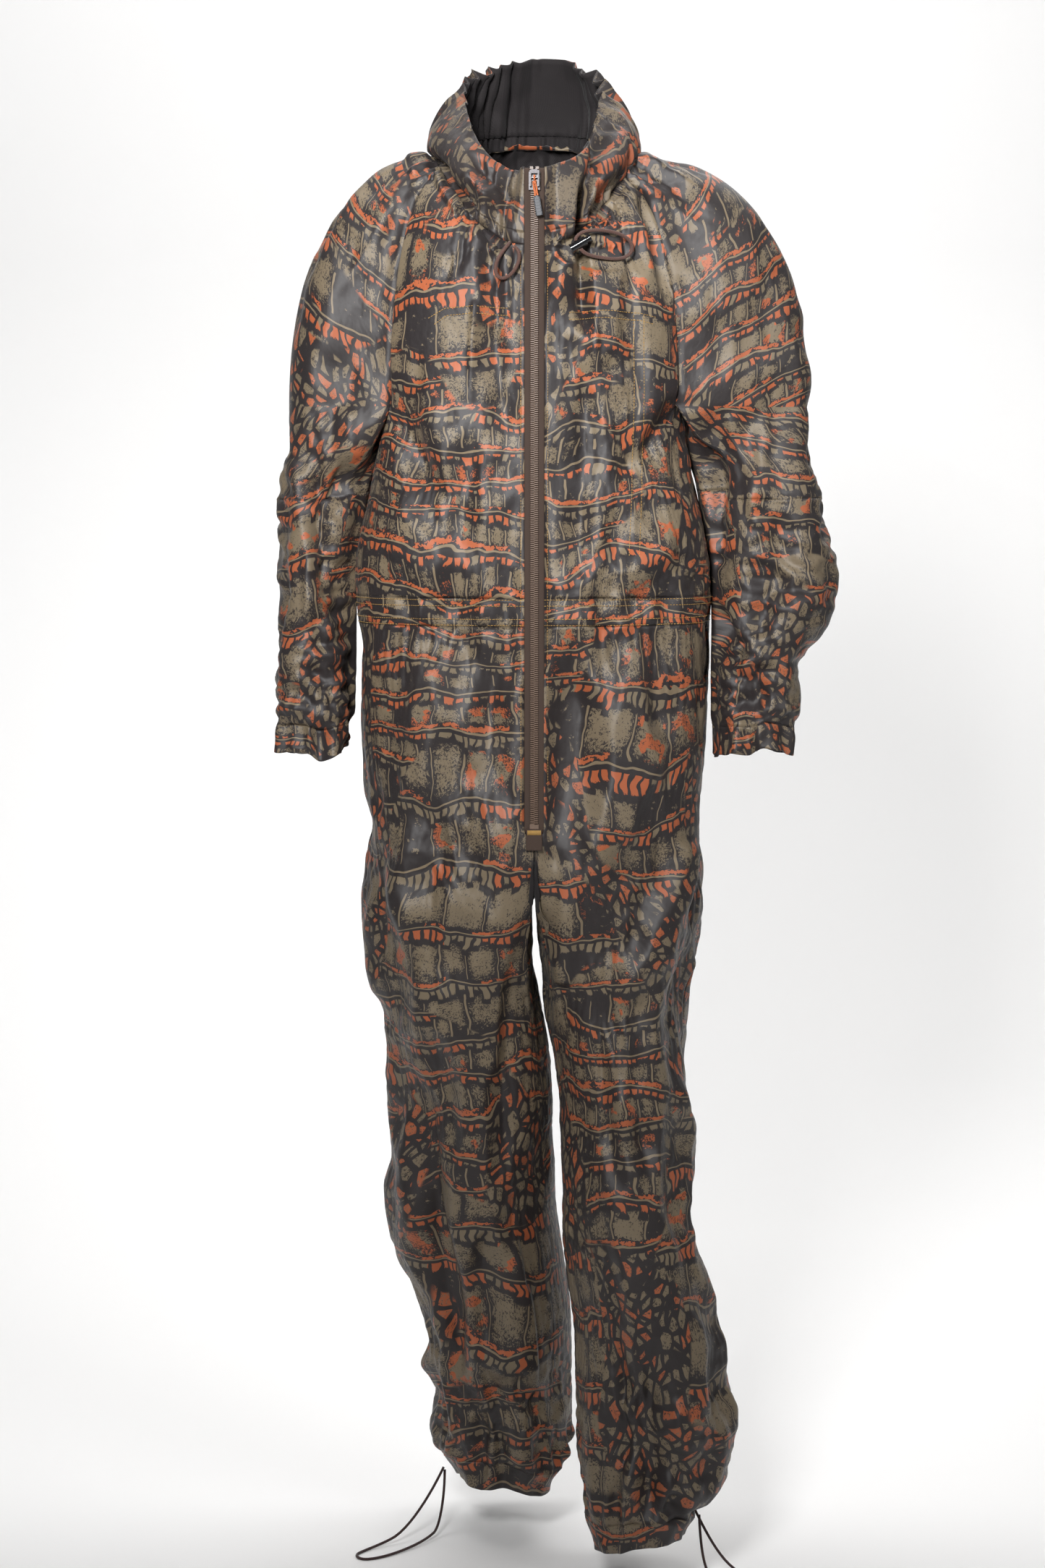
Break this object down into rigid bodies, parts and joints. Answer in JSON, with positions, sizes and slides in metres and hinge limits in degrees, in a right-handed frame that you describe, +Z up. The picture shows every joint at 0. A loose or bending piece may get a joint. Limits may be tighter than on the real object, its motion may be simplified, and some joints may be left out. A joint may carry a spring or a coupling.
{
  "type": "beekeeping suit",
  "caption": "Full-length beekeeping suit with a front zip, stand collar, raglan sleeves, gathered waist, elastic cuffs and drawcord hems, hanging as it does when worn.",
  "frame": {"origin": "the centre of the neck on the line of the shoulders, where the suit hangs on its wearer", "axes": "+Z up along the body, -Y the front with the zip, +X the wearer's left"},
  "size_m": [0.5709, 0.2903, 1.5632],
  "materials": {
    "printed_nylon": "thin matt woven nylon with a printed reptile-scale camouflage in taupe, charcoal and rust",
    "knitted_elastic": "dark knitted elastic inside the casings",
    "elastic_cord": "braided dark brown elastic cord with a faint sheen",
    "dark_lining": "near-black lining",
    "zip_tape": "dark brown herringbone-woven tape",
    "zip_coil": "dark brown nylon coil with a soft gloss",
    "bartack_thread": "ochre bar-tack thread over a folded tape end",
    "slider_metal": "dark lacquered zinc, lighter on worn edges",
    "pull_cord_orange": "braided rust-orange cord",
    "pull_grip_plastic": "moulded dark grey soft plastic",
    "lock_plastic": "glossy black moulded plastic",
    "spring_steel": "bright drawn wire"
  },
  "bodies": {
    "suit": {"front_body_left": "printed_nylon", "front_body_right": "printed_nylon", "back_body": "printed_nylon", "sleeve_upper_left": "printed_nylon", "sleeve_upper_right": "printed_nylon", "sleeve_lower_left": "printed_nylon", "sleeve_lower_right": "printed_nylon", "cuff_casing_left": "printed_nylon", "cuff_casing_right": "printed_nylon", "cuff_elastic_left": "knitted_elastic", "cuff_elastic_right": "knitted_elastic", "leg_front_left": "printed_nylon", "leg_front_right": "printed_nylon", "leg_back_left": "printed_nylon", "leg_back_right": "printed_nylon", "hem_casing_left": "printed_nylon", "hem_casing_right": "printed_nylon", "hem_cord_left": "elastic_cord", "hem_cord_right": "elastic_cord", "waist_casing_left": "printed_nylon", "waist_casing_right": "printed_nylon", "waist_elastic_left": "knitted_elastic", "waist_elastic_right": "knitted_elastic", "chest_pocket_left": "printed_nylon", "chest_pocket_right": "printed_nylon", "collar": "printed_nylon", "collar_lining": "dark_lining", "neck_casing": "printed_nylon", "neck_loop_left": "elastic_cord", "neck_loop_right": "elastic_cord", "zip_tape_left": "zip_tape", "zip_tape_right": "zip_tape", "zip_chain_left": "zip_coil", "zip_chain_right": "zip_coil", "top_stop_left": "zip_coil", "top_stop_right": "zip_coil", "bottom_stop": "zip_coil", "zip_end_tab": "bartack_thread"},
    "slider": {"slider_body": "slider_metal", "slider_bail": "slider_metal", "slider_pin": "slider_metal"},
    "zip_pull": {"pull_cord": "pull_cord_orange", "pull_grip": "pull_grip_plastic"},
    "cord_lock": {"lock_barrel": "lock_plastic", "lock_spring": "spring_steel"},
    "lock_button": {"lock_plunger": "lock_plastic"}
  },
  "joints": [
    {"name": "zip_slide", "type": "slide", "parent": "suit", "child": "slider", "axis": [0, -0.0515, -0.9987], "range_m": [0, 0.6215]},
    {"name": "pull_swing", "type": "hinge", "parent": "slider", "child": "zip_pull", "pos_m": [0, -0.11606, -0.03012], "axis": [-1, 0, 0], "range_deg": [0, 120]},
    {"name": "lock_slide", "type": "slide", "parent": "suit", "child": "cord_lock", "axis": [0.985, 0.1726, 0], "range_m": [0, 0.02], "deforming": ["neck_loop_left"]},
    {"name": "lock_press", "type": "slide", "parent": "cord_lock", "child": "lock_button", "axis": [-0.866, 0, -0.5], "range_m": [0, 0.003], "stiffness_N_per_m": 400, "springref_m": -0.002, "deforming": ["lock_spring"]}
  ]
}
